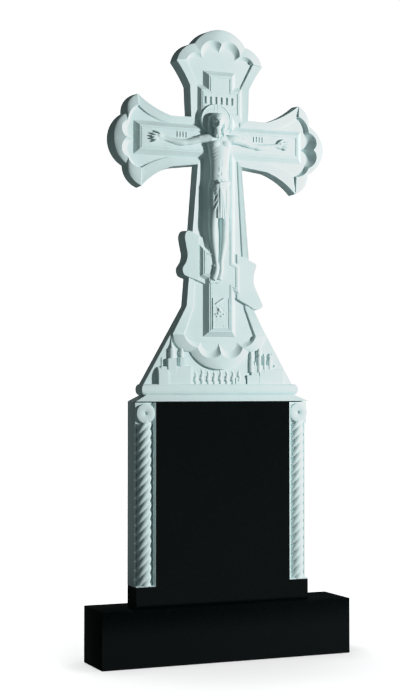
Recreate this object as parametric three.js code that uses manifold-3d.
// Cross headstone: a carved white marble cross on a black granite tablet and plinth,
// with a twisted marble column let into each front corner of the tablet.
// Millimetres. X runs across the front, Y from front to back, Z upwards.
// The origin is the middle of the plinth's underside.

import * as THREE from 'three';
import { mergeVertices } from 'three/addons/utils/BufferGeometryUtils.js';
import Module from 'manifold-3d';

const wasm = await Module();
wasm.setup();

// Driving dimensions

// Gap between pieces that stand on or beside each other, and how far joined shapes overlap
const JOINT = 0.3;
const OVERLAP = 1;

const PLINTH = { width: 720, depth: 146, height: 150 };
const TABLET = { width: 504, depth: 67, footHeight: 53, panelWidth: 392, top: 691 };
const BACK = TABLET.depth / 2;

// Fronts, the floor of the channel and the axis of the rope are places along Y
const COLUMN = {
  wall: 4.6, innerFront: -33, outerFront: -22, blockFront: -24, floor: 2,
  lip: 3.4, shaftTop: 632, top: 689,
};
const ROPE = {
  axis: -10.3, radius: 23.2, strands: 6, strandRadius: 9, strandSides: 4, pitch: 142, step: 15,
};
const DISC = { radius: 26, front: -32, height: 660, sides: 24 };
const DIMPLE = { radius: 4.5, depth: 4.5, sides: 10 };

// Heights over the back plane of the marble: sunk field, inner cross and outer slanted band
const FIELD = 33.5;
const INNER_FACE = 45.5;
const BAND_FACE = 41.5;

// Ledge, roll and sloping foot: heights on the stone, half widths, depths from the back plane
const LEDGE = { top: 709, topHalf: 217, topDepth: 51.5 };
const ROLL = { top: 738, half: 230, depth: 52, swell: 9, steps: 6 };
const FOOT = { half: 224, bottom: 730, topHalf: 98, top: 948 };

// Bars of the inner cross: half width, lowest and highest point
const UPRIGHT = [34.4, 879, 1576];
const LONG_BAR = [234.7, 1363.5, 1427.5];
const SHORT_BAR = [56.6, 1465, 1536];

// The footrest falls towards the right
const FOOTREST = { half: 51.7, middle: 1046, halfHeight: 34.5, slope: -0.427 };

// The sides of the bars lean outwards, down to a root just under the field
const BAR_SIDE = { run: 13.6, rise: 12, root: 31 };

// Outer cross. Each row is a corner of the right half of one contour, from the bottom
// middle to the top middle: x, height on the stone, height over the back plane, and the bow
// of the stretch that leads on from it, outwards where it is positive.
const EDGE = 40;
const RIM = 36.5;
const RIDGE = 48.5;
const OUTLINE = [
  [0, 777, EDGE, 12.8], [87, 825, EDGE, 15], [138, 872, EDGE, 0], [98, 948, EDGE, 0],
  [65, 1332, EDGE, 0], [140, 1322, EDGE, -7], [228, 1265, EDGE, 11], [269, 1322, EDGE, 10.7],
  [310, 1389, EDGE, 10.7], [271, 1458, EDGE, 11], [238, 1511, EDGE, -6], [140, 1458.5, EDGE, 0],
  [84.5, 1460, EDGE, 0], [88, 1546, EDGE, -2], [127, 1610, EDGE, 11], [75, 1660, EDGE, 11.2],
  [0, 1702, EDGE, 0],
];
const CREST = [
  [0, 820, RIDGE, 20], [66, 836, RIDGE - 2, 8], [106, 871, RIDGE - 7, 0], [77, 945, RIM + 1, 0],
  [55, 1345, RIM, 0], [140, 1347, RIM, -5], [228, 1313, RIDGE - 7, 8], [268, 1340, RIDGE - 2, 16],
  [275, 1389, RIDGE, 16], [268, 1438, RIDGE - 2, 8], [236, 1482, RIDGE - 7, -10], [140, 1441, RIM, 0],
  [62, 1442, RIM, 0], [62, 1543, RIM + 1, 0], [99, 1614, RIDGE - 7, 9], [58, 1634, RIDGE - 2, 21],
  [0, 1661, RIDGE, 0],
];
const HOLLOW = [
  [0, 850, FIELD, 24], [54, 852, FIELD, 7], [100, 868, FIELD, 0], [73, 945, FIELD, 0],
  [53, 1350, FIELD, 0], [140, 1351, FIELD, -5], [225, 1316, FIELD, 6], [260, 1348, FIELD, 17],
  [247, 1389, FIELD, 17], [260, 1431, FIELD, 6], [231, 1479, FIELD, -10], [140, 1437, FIELD, 0],
  [60, 1438, FIELD, 0], [60, 1540, FIELD, 0], [94, 1612, FIELD, 8], [46, 1622, FIELD, 20],
  [0, 1641, FIELD, 0],
];
const STRETCH_STEPS = [6, 5, 2, 1, 1, 4, 5, 6, 6, 5, 4, 1, 1, 2, 5, 6];

// Bracket-shaped ends of the outer slanted band: x and height on the stone
const BAND_LEFT_END = [
  [-84, 1147], [-98, 1151], [-108, 1146], [-111, 1132], [-105, 1108], [-100, 1086],
  [-104, 1066], [-112, 1050], [-109, 1035], [-98, 1028], [-53, 1013],
];
const BAND_RIGHT_END = [
  [46, 973], [90, 949], [98, 943], [114, 942], [126, 949], [126, 958], [110, 991],
  [101, 1013], [101, 1035], [106, 1053], [107, 1066], [80, 1079],
];

// Figure. Limbs run through sections, each given by x, height on the stone, height over the
// back plane, half width and half depth. Balls have one more half size and a lean.
const HALO = { x: -20, y: 1452, radius: 42.5, face: 50, sides: 28 };
const HEAD_BALLS = [
  [-24, 1443, 68, 16.5, 23, 18, -0.12],
  [-25, 1418, 74, 9, 17, 10, -0.1],
  [-24, 1452, 62, 23, 20, 15, 0],
];
const HAIR_LEFT = [
  [-42, 1455, 58, 7, 10], [-44, 1435, 60, 9, 12], [-43, 1412, 60, 7, 9], [-40, 1398, 58, 4, 5],
];
const HAIR_RIGHT = [
  [-8, 1456, 58, 7, 10], [-4, 1436, 60, 9, 12], [-3, 1413, 60, 7, 9], [-4, 1396, 58, 4, 5],
];
const TRUNK = [
  [-18, 1420, 60, 10, 9], [-15, 1408, 58, 22, 11], [-12, 1394, 58, 35, 15], [-11, 1372, 60, 32, 18],
  [-11, 1345, 60, 28, 18], [-13, 1318, 59, 25, 17], [-14, 1295, 58, 24, 16], [-11, 1272, 59, 27, 18],
  [-10, 1255, 58, 27, 18],
];
const SHOULDER_AXIS = -12;
const ARM = [
  [22, 1404, 56, 12, 13], [40, 1403, 56, 12, 12], [80, 1395, 51, 10, 9], [118, 1390, 49, 9, 8],
  [150, 1392, 48, 7, 7], [166, 1395, 48, 6, 6], [180, 1396, 47.5, 10, 5], [196, 1397, 46.5, 8, 3],
];
const LEG_LEFT = [
  [-24, 1225, 62, 14, 16], [-29, 1190, 68, 14, 15], [-31, 1163, 70, 13, 14], [-28, 1130, 63, 11, 12],
  [-22, 1090, 58, 9, 10], [-18, 1062, 55, 7.5, 8], [-19, 1045, 55, 8, 8], [-24, 1028, 53, 8, 6],
  [-28, 1015, 50, 6, 3.5],
];
const LEG_RIGHT = [
  [3, 1225, 60, 14, 15], [4, 1190, 64, 14, 14], [4, 1168, 66, 13, 13], [3, 1130, 60, 11, 11],
  [-1, 1090, 56, 9, 9], [-3, 1062, 54, 7.5, 7.5], [-4, 1045, 54, 8, 7.5], [-6, 1028, 52, 8, 6],
  [-8, 1016, 50, 6, 3.5],
];

// Loincloth: height, half width, half depth and depth of the pleats, from the knot down
const CLOTH = { x: -9, z: 59, pleats: 7, sides: 28 };
const CLOTH_LEVELS = [
  [1288, 25, 17, 0.2], [1276, 29, 21, 0.8], [1255, 30, 22, 1.4], [1225, 29, 22, 2.2], [1192, 27, 20, 2.8],
];
const KNOT = [-17, 1278, 79, 6, 5, 5, 0];
const HANGING_END = [[-17, 1274, 78, 4, 4], [-12, 1230, 80, 9, 5], [-10, 1186, 79, 11, 4]];

// Low reliefs on the foot. Walls: x from and to, height from and to, height over the back plane.
// Domes: x, height of their base, radius, height.
const RELIEF = { root: FIELD - 2, face: 44, sides: 8, flatness: 0.8, sink: 0.6 };
const WALLS = [
  [-184, -108, 736, 768, 44], [-160, -134, 767, 812, 43], [-181, -170, 767, 786, 41],
  [76, 184, 736, 770, 44],
];
const BELL_TOWER_DOME = [-147, 811, 13, 46];
const DOMES = [
  [-121, 793, 9, 36], [88, 786, 9, 34], [113, 800, 10, 42], [124, 782, 8, 30], [144, 786, 9, 34],
];
const DOME_PROFILE = [[0, 0], [0.62, 0], [1, 0.28], [0.8, 0.5], [0.22, 0.68], [0.12, 1], [0, 1]];
const DRUM = { bottom: 767, slimness: 0.7 };
const TREES = { count: 8, first: -78, pitch: 19, sway: 3, sides: 6 };
const TREE = [[740, 0, 5, 4], [750, 1, 7, 5], [762, -1, 6, 4.5], [772, 1, 5, 4], [779, 0, 1.5, 2]];

// Rows of short upright strokes: how many, first x, pitch, lowest point, height and width
const STROKE_ROWS = [[6, -44, 15.5, 1497, 20, 5], [4, -136, 8, 1402, 14, 3.6], [4, 98, 8, 1402, 14, 3.6]];
const STROKE_RELIEF = 1.6;
const PANEL = { half: 24.5, bottom: 886, top: 971, relief: 1.5 };
const PANEL_BOSS = [-4, 932, INNER_FACE + 1, 11, 13, 5, 0];

const MARBLE = new THREE.MeshStandardMaterial({ color: 0xdfe9ea, roughness: 0.45, metalness: 0 });
const GRANITE = new THREE.MeshStandardMaterial({ color: 0x0c1112, roughness: 0.12, metalness: 0 });

// Solids and meshes

function toSolid(geometry) {
  const bare = geometry.clone();
  bare.deleteAttribute('normal');
  bare.deleteAttribute('uv');
  const merged = mergeVertices(bare, 1e-4);
  const mesh = new wasm.Mesh({
    numProp: 3,
    vertProperties: new Float32Array(merged.attributes.position.array),
    triVerts: new Uint32Array(merged.index.array),
  });
  return new wasm.Manifold(mesh);
}

function toGeometry(solid) {
  const mesh = solid.getMesh();
  const geometry = new THREE.BufferGeometry();
  geometry.setAttribute('position', new THREE.BufferAttribute(mesh.vertProperties, 3));
  geometry.setIndex(new THREE.BufferAttribute(mesh.triVerts, 1));
  return geometry;
}

function unite(geometries) {
  return geometries.map(toSolid).reduce((whole, next) => whole.add(next));
}

function named(name, geometry, material) {
  const mesh = new THREE.Mesh(geometry, material);
  mesh.name = name;
  return mesh;
}

// Turns a shape drawn on the marble's face (x, height on the stone, height over the back
// plane) into the frame of the whole headstone.
function stand(geometry) {
  return geometry.rotateX(Math.PI / 2).translate(0, BACK, 0);
}

const at = (x, y, z) => new THREE.Vector3(x, y, z);

// Corners of a flat ring, laid down on the XY plane
function laidFlat(ring) {
  const normal = new THREE.Vector3();
  ring.forEach((p, i) => normal.add(p.clone().cross(ring[(i + 1) % ring.length])));
  const turn = new THREE.Quaternion().setFromUnitVectors(normal.normalize(), at(0, 0, 1));
  return ring.map((p) => p.clone().applyQuaternion(turn)).map((p) => new THREE.Vector2(p.x, p.y));
}

// A closed body through rings of equally many points, with a flat cap on the first and
// the last ring. Rings turn anticlockwise as seen against the direction they are stacked in.
function loft(rings) {
  const count = rings[0].length;
  const positions = rings.flat().flatMap((p) => [p.x, p.y, p.z]);
  const index = [];
  for (let r = 0; r + 1 < rings.length; r += 1) {
    for (let i = 0; i < count; i += 1) {
      const a = r * count + i;
      const b = r * count + ((i + 1) % count);
      index.push(a, b, b + count, a, b + count, a + count);
    }
  }
  const last = (rings.length - 1) * count;
  const lower = THREE.ShapeUtils.triangulateShape(laidFlat(rings[0]), []);
  const upper = THREE.ShapeUtils.triangulateShape(laidFlat(rings[rings.length - 1]), []);
  lower.forEach(([a, b, c]) => index.push(a, c, b));
  upper.forEach(([a, b, c]) => index.push(last + a, last + b, last + c));
  const geometry = new THREE.BufferGeometry();
  geometry.setAttribute('position', new THREE.Float32BufferAttribute(positions, 3));
  geometry.setIndex(index);
  return geometry;
}

function block(x0, x1, y0, y1, z0, z1) {
  return new THREE.BoxGeometry(x1 - x0, y1 - y0, z1 - z0)
    .translate((x0 + x1) / 2, (y0 + y1) / 2, (z0 + z1) / 2);
}

function prism(points, from, to) {
  const shape = new THREE.Shape(points.map(([x, y]) => new THREE.Vector2(x, y)));
  return new THREE.ExtrudeGeometry(shape, { depth: to - from, bevelEnabled: false })
    .translate(0, 0, from);
}

// Plinth and tablet

function plinth() {
  const half = PLINTH.width / 2;
  const front = PLINTH.depth / 2;
  return block(-half, half, -front, front, 0, PLINTH.height);
}

// An upside-down T: full width at the foot, narrower above, where the columns stand beside it
function tablet() {
  const half = TABLET.width / 2;
  const panel = TABLET.panelWidth / 2;
  const foot = PLINTH.height + JOINT;
  const step = PLINTH.height + TABLET.footHeight;
  const outline = [
    [-half, foot], [half, foot], [half, step], [panel, step],
    [panel, TABLET.top], [-panel, TABLET.top], [-panel, step], [-half, step],
  ];
  return stand(prism(outline, 0, TABLET.depth));
}

// Corner columns

// Distance from the rope's axis to its surface: overlapping round strands
function ropeRadiusAt(angle) {
  const share = (2 * Math.PI) / ROPE.strands;
  const fromCrown = Math.abs((angle % share) - share / 2);
  const reach = ROPE.radius - ROPE.strandRadius;
  const side = reach * Math.sin(share / 2 - fromCrown);
  return reach * Math.cos(share / 2 - fromCrown) + Math.sqrt(ROPE.strandRadius ** 2 - side ** 2);
}

function rope(x, from, to) {
  const sides = ROPE.strands * ROPE.strandSides;
  const steps = Math.round((to - from) / ROPE.step);
  const rings = [];
  for (let s = 0; s <= steps; s += 1) {
    const z = from + ((to - from) * s) / steps;
    const twist = (2 * Math.PI * z) / ROPE.pitch;
    const ring = [];
    for (let i = 0; i < sides; i += 1) {
      const angle = (2 * Math.PI * i) / sides;
      const r = ropeRadiusAt(angle);
      ring.push(at(x + r * Math.cos(angle + twist), ROPE.axis + r * Math.sin(angle + twist), z));
    }
    rings.push(ring);
  }
  return loft(rings);
}

function disc(x) {
  const depth = COLUMN.blockFront - DISC.front + OVERLAP;
  return new THREE.CylinderGeometry(DISC.radius, DISC.radius, depth, DISC.sides)
    .translate(x, DISC.front + depth / 2, DISC.height);
}

function dimple(x) {
  return new THREE.ConeGeometry(DIMPLE.radius, DIMPLE.depth * 2, DIMPLE.sides)
    .translate(x, DISC.front, DISC.height);
}

// One piece of marble: thin walls around a channel with the twisted shaft in it, a lip
// below and a square block with a round disc above. side is -1 on the left, 1 on the right.
function column(side) {
  const inner = TABLET.panelWidth / 2 + JOINT;
  const outer = TABLET.width / 2;
  const middle = (side * (inner + outer)) / 2;
  const bottom = PLINTH.height + TABLET.footHeight + JOINT;
  const back = COLUMN.floor + OVERLAP;
  const span = (a, b) => (side > 0 ? [a, b] : [-b, -a]);
  const solid = unite([
    block(...span(inner, outer), COLUMN.floor, BACK, bottom, COLUMN.top),
    block(...span(inner, inner + COLUMN.wall), COLUMN.innerFront, back, bottom, COLUMN.top),
    block(...span(outer - COLUMN.wall, outer), COLUMN.outerFront, back, bottom, COLUMN.top),
    block(...span(inner, outer), COLUMN.innerFront, back, bottom, bottom + COLUMN.lip),
    block(...span(inner, outer), COLUMN.blockFront, back, COLUMN.shaftTop, COLUMN.top),
    rope(middle, bottom + COLUMN.lip / 2, COLUMN.shaftTop + OVERLAP),
    disc(middle),
  ]);
  return toGeometry(solid.subtract(toSolid(dimple(middle))));
}

// Outer cross

// A point on the circular arc from a to b that bows by the given amount to the right
function bowed(a, b, bow, share) {
  const chord = new THREE.Vector2(b[0] - a[0], b[1] - a[1]);
  const across = new THREE.Vector2(chord.y, -chord.x).normalize();
  const half = chord.length() / 2;
  const along = 2 * share - 1;
  let lift = 0;
  if (bow !== 0) {
    const radius = (half * half + bow * bow) / (2 * Math.abs(bow));
    lift = Math.sign(bow) * (Math.sqrt(radius ** 2 - (along * half) ** 2) - (radius - Math.abs(bow)));
  }
  return [
    a[0] + chord.x * share + across.x * lift,
    a[1] + chord.y * share + across.y * lift,
  ];
}

// A whole contour from its right half. With a level given, it lies flat at that height.
function contour(corners, level) {
  const right = [];
  STRETCH_STEPS.forEach((steps, k) => {
    const a = corners[k];
    const b = corners[k + 1];
    for (let i = 0; i < steps; i += 1) {
      const share = i / steps;
      const [x, y] = bowed(a, b, a[3], share);
      right.push(at(x, y, level ?? a[2] + (b[2] - a[2]) * share));
    }
  });
  const [x, y, z] = corners[corners.length - 1];
  right.push(at(x, y, level ?? z));
  const left = right.slice(1, -1).reverse().map((p) => at(-p.x, p.y, p.z));
  return [...right, ...left];
}

function outerCross() {
  return loft([contour(OUTLINE, 0), contour(OUTLINE), contour(CREST), contour(HOLLOW)]);
}

function outerBand() {
  return prism([...BAND_LEFT_END, ...BAND_RIGHT_END], 0, BAND_FACE);
}

// The sloping foot with its ledge, and the roll between the two

// Rectangles stacked upwards against the back plane, each given by height, half width, depth
function stack(levels) {
  return loft(levels.map(([z, half, depth]) => [
    at(-half, BACK, z), at(-half, BACK - depth, z), at(half, BACK - depth, z), at(half, BACK, z),
  ]));
}

function footPlate() {
  const outline = [
    [-FOOT.half, FOOT.bottom], [FOOT.half, FOOT.bottom], [FOOT.topHalf, FOOT.top], [-FOOT.topHalf, FOOT.top],
  ];
  return stand(prism(outline, 0, FIELD));
}

function ledge() {
  return stack([
    [TABLET.top + JOINT, TABLET.width / 2, TABLET.depth],
    [LEDGE.top, LEDGE.topHalf, LEDGE.topDepth],
  ]);
}

function roll() {
  const low = LEDGE.top - OVERLAP;
  const levels = [[low, LEDGE.topHalf - OVERLAP, ROLL.depth - ROLL.swell]];
  for (let i = 0; i < ROLL.steps; i += 1) {
    const turn = (Math.PI * (i + 0.5)) / ROLL.steps;
    const drawnIn = ROLL.swell * (1 - Math.sin(turn));
    const z = low + ((ROLL.top - low) * (1 - Math.cos(turn))) / 2;
    levels.push([z, ROLL.half - drawnIn, ROLL.depth - drawnIn]);
  }
  levels.push([ROLL.top, FOOT.half - 2 * OVERLAP, FIELD + OVERLAP]);
  return stack(levels);
}

// Inner cross

// A flat face on sides that lean outwards by the same amount all round
function bar(corners) {
  const grow = ((INNER_FACE - BAR_SIDE.root) * BAR_SIDE.run) / BAR_SIDE.rise;
  const count = corners.length;
  const outward = corners.map(([x, y], i) => {
    const [nextX, nextY] = corners[(i + 1) % count];
    return new THREE.Vector2(nextY - y, x - nextX).normalize();
  });
  const root = corners.map(([x, y], i) => {
    const before = outward[(i + count - 1) % count];
    const mitre = before.clone().add(outward[i]).divideScalar(1 + before.dot(outward[i]));
    return at(x + grow * mitre.x, y + grow * mitre.y, BAR_SIDE.root);
  });
  return loft([root, corners.map(([x, y]) => at(x, y, INNER_FACE))]);
}

function squareBar([half, low, high]) {
  return bar([[-half, low], [half, low], [half, high], [-half, high]]);
}

function footrest() {
  const { half, middle, halfHeight, slope } = FOOTREST;
  const y = (x, side) => middle + slope * x + side * halfHeight;
  return bar([[-half, y(-half, -1)], [half, y(half, -1)], [half, y(half, 1)], [-half, y(-half, 1)]]);
}

// Figure

// A closed body through elliptical sections along a path on the stone
function limb(sections, sides) {
  const centres = sections.map(([x, y, z]) => at(x, y, z));
  const rings = sections.map(([, , , wide, deep], i) => {
    const from = centres[Math.max(i - 1, 0)];
    const to = centres[Math.min(i + 1, centres.length - 1)];
    const along = to.clone().sub(from).normalize();
    const out = at(0, 0, 1).sub(along.clone().multiplyScalar(along.z)).normalize();
    const across = along.clone().cross(out);
    const ring = [];
    for (let s = 0; s < sides; s += 1) {
      const turn = (2 * Math.PI * s) / sides;
      ring.push(centres[i].clone()
        .addScaledVector(across, wide * Math.sin(turn))
        .addScaledVector(out, deep * Math.cos(turn)));
    }
    return ring;
  });
  return loft(rings);
}

function ball([x, y, z, wide, tall, deep, lean]) {
  return new THREE.SphereGeometry(1, 12, 7).scale(wide, tall, deep).rotateZ(lean).translate(x, y, z);
}

function halo() {
  return new THREE.CylinderGeometry(HALO.radius, HALO.radius, HALO.face - FIELD, HALO.sides)
    .rotateX(Math.PI / 2).translate(HALO.x, HALO.y, (HALO.face + FIELD) / 2);
}

function arm(side) {
  return limb(ARM.map(([reach, ...rest]) => [SHOULDER_AXIS + side * reach, ...rest]), 8);
}

function loincloth() {
  return loft(CLOTH_LEVELS.map(([y, wide, deep, fold]) => {
    const ring = [];
    for (let s = 0; s < CLOTH.sides; s += 1) {
      const turn = (2 * Math.PI * s) / CLOTH.sides;
      const pleat = fold * Math.cos(CLOTH.pleats * turn);
      ring.push(at(CLOTH.x + (wide + pleat) * Math.cos(turn), y, CLOTH.z + (deep + pleat) * Math.sin(turn)));
    }
    return ring;
  }));
}

function figure() {
  return [
    halo(), ...HEAD_BALLS.map(ball), limb(HAIR_LEFT, 6), limb(HAIR_RIGHT, 6),
    limb(TRUNK, 14), arm(-1), arm(1), loincloth(), ball(KNOT), limb(HANGING_END, 6),
    limb(LEG_LEFT, 9), limb(LEG_RIGHT, 9),
  ];
}

// Low reliefs: a bell tower on the left, domes on the right, a row of trees between them

function wall([x0, x1, y0, y1, face]) {
  return block(x0, x1, y0, y1, RELIEF.root, face);
}

function dome([x, y, radius, tall]) {
  const points = DOME_PROFILE.map(([r, h]) => new THREE.Vector2(r * radius, h * tall));
  return new THREE.LatheGeometry(points, RELIEF.sides)
    .scale(1, 1, RELIEF.flatness).translate(x, y, RELIEF.face - radius * RELIEF.sink);
}

// The round drum that a dome stands on
function drum([x, y, domeRadius]) {
  const radius = domeRadius * DRUM.slimness;
  const top = y + OVERLAP;
  return new THREE.CylinderGeometry(radius, radius, top - DRUM.bottom, RELIEF.sides)
    .scale(1, 1, RELIEF.flatness)
    .translate(x, (DRUM.bottom + top) / 2, RELIEF.face - radius * RELIEF.sink);
}

function churches() {
  return [...WALLS.map(wall), dome(BELL_TOWER_DOME), ...DOMES.map(dome), ...DOMES.map(drum)];
}

function trees() {
  const row = [];
  for (let i = 0; i < TREES.count; i += 1) {
    const x = TREES.first + i * TREES.pitch;
    const sway = i % 2 === 0 ? TREES.sway : -TREES.sway;
    const sections = TREE.map(([y, lean, wide, deep]) => [x + lean * sway, y, FIELD, wide, deep]);
    row.push(limb(sections, TREES.sides));
  }
  return row;
}

// Strokes stand where the real stone carries words, a framed boss on the lower panel

function strokes([count, first, pitch, low, tall, wide]) {
  const row = [];
  for (let i = 0; i < count; i += 1) {
    const x = first + i * pitch;
    row.push(block(x, x + wide, low, low + tall, INNER_FACE - OVERLAP, INNER_FACE + STROKE_RELIEF));
  }
  return row;
}

function panel() {
  const { half, bottom, top, relief } = PANEL;
  return block(-half, half, bottom, top, INNER_FACE - OVERLAP, INNER_FACE + relief);
}

// The whole carved cross with its foot and ledge, one piece of marble
function marbleCross() {
  const face = [
    outerCross(), squareBar(UPRIGHT), squareBar(LONG_BAR), squareBar(SHORT_BAR), footrest(), outerBand(),
    ...figure(), ...churches(), ...trees(), ...STROKE_ROWS.flatMap(strokes), panel(), ball(PANEL_BOSS),
  ];
  return toGeometry(unite([...face.map(stand), footPlate(), ledge(), roll()]));
}

const headstone = new THREE.Group();
headstone.add(named('plinth', plinth(), GRANITE));
headstone.add(named('tablet', tablet(), GRANITE));
headstone.add(named('column_left', column(-1), MARBLE));
headstone.add(named('column_right', column(1), MARBLE));
headstone.add(named('cross', marbleCross(), MARBLE));

export default headstone;
